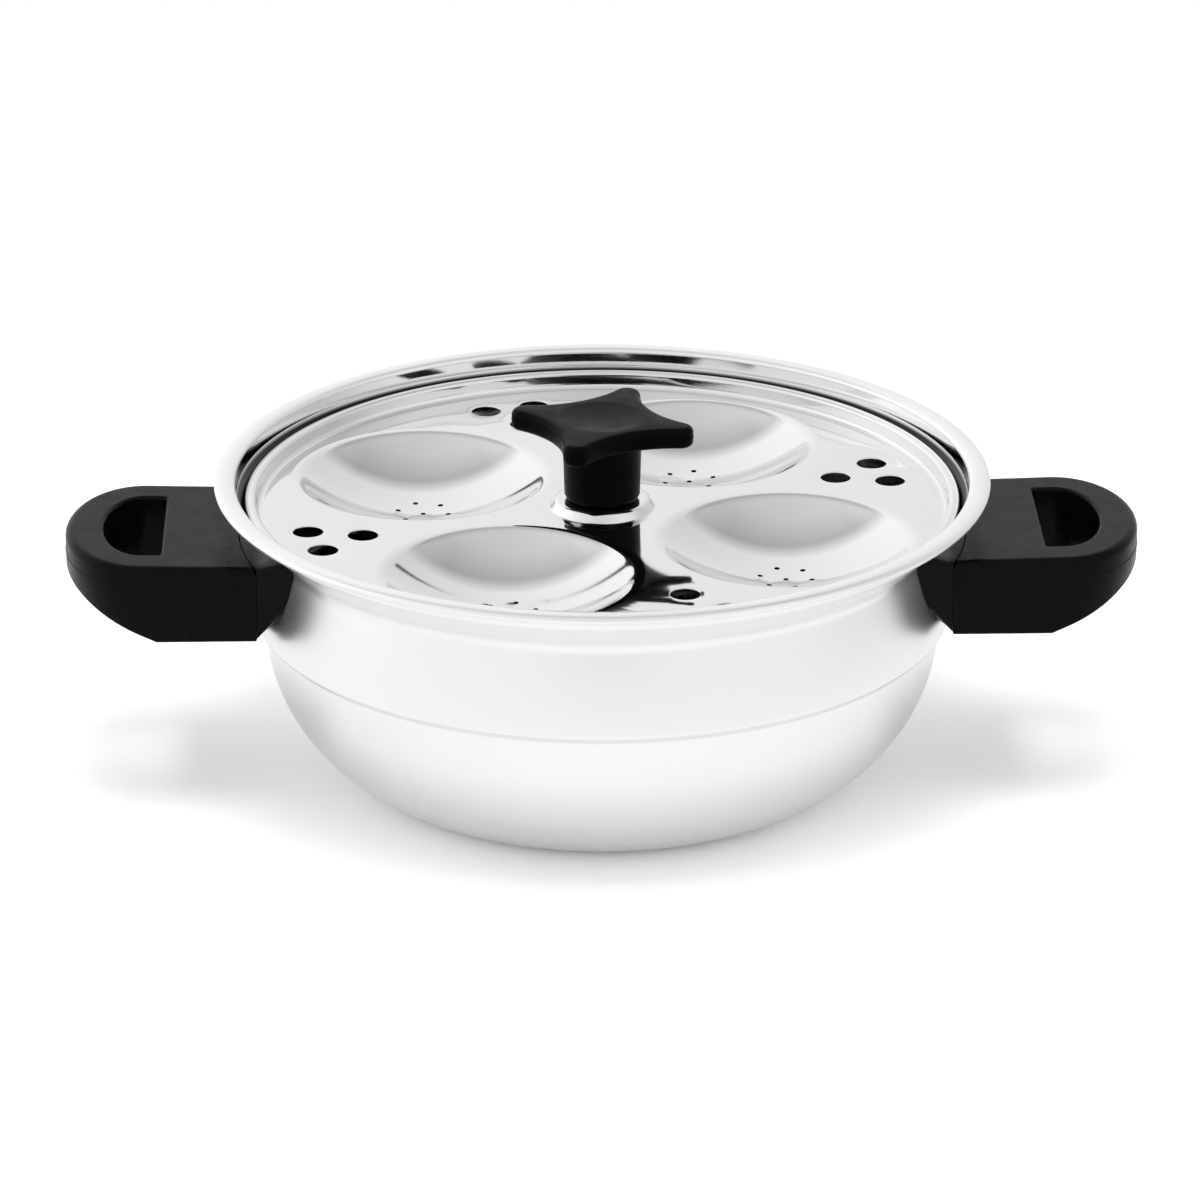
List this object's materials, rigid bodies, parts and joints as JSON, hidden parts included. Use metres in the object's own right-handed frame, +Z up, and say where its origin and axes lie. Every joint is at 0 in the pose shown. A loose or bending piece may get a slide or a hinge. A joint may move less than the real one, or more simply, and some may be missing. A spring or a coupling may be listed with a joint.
{
  "type": "idli steamer",
  "caption": "Flared steel steaming pot with a stepped bowl, black side handles and a lift-out rack of cavity plates on a central spindle with a star knob.",
  "frame": {"origin": "centre of the flat base, on the surface that the pot stands on", "axes": "+Z up along the pot's axis, X along the two handles, Y across them"},
  "size_m": [0.3466, 0.25, 0.1209],
  "materials": {
    "pot_steel": "mirror polished stainless steel",
    "plate_steel": "mirror polished stainless steel",
    "fixing_steel": "plain bright steel",
    "knob_bakelite": "satin black bakelite",
    "guard_bakelite": "gloss black bakelite",
    "grip_bakelite": "satin black bakelite",
    "insert_brass": "machined brass"
  },
  "bodies": {
    "pot": {"pot_base": "pot_steel", "pot_bowl": "pot_steel", "pot_wall": "pot_steel", "handle_bracket_left": "fixing_steel", "handle_nut_left": "fixing_steel", "handle_guard_left": "guard_bakelite", "handle_grip_left": "grip_bakelite", "handle_washer_left": "fixing_steel", "handle_screw_left": "fixing_steel", "handle_bracket_right": "fixing_steel", "handle_nut_right": "fixing_steel", "handle_guard_right": "guard_bakelite", "handle_grip_right": "grip_bakelite", "handle_washer_right": "fixing_steel", "handle_screw_right": "fixing_steel"},
    "rack": {"top_plate": "plate_steel", "lower_plate": "plate_steel", "spacer_tube": "fixing_steel", "spindle_rod": "fixing_steel", "plate_washer": "fixing_steel", "cap_nut": "fixing_steel"},
    "knob": {"knob_head": "knob_bakelite", "knob_stem": "knob_bakelite", "knob_insert": "insert_brass"}
  },
  "joints": [
    {"name": "rack_lift", "type": "slide", "parent": "pot", "child": "rack", "axis": [0, 0, 1], "range_m": [0, 0.13]},
    {"name": "knob_turn", "type": "hinge", "parent": "rack", "child": "knob", "pos_m": [0, 0, 0.0936], "axis": [0, 0, 1], "range_deg": [0, 1845]}
  ]
}
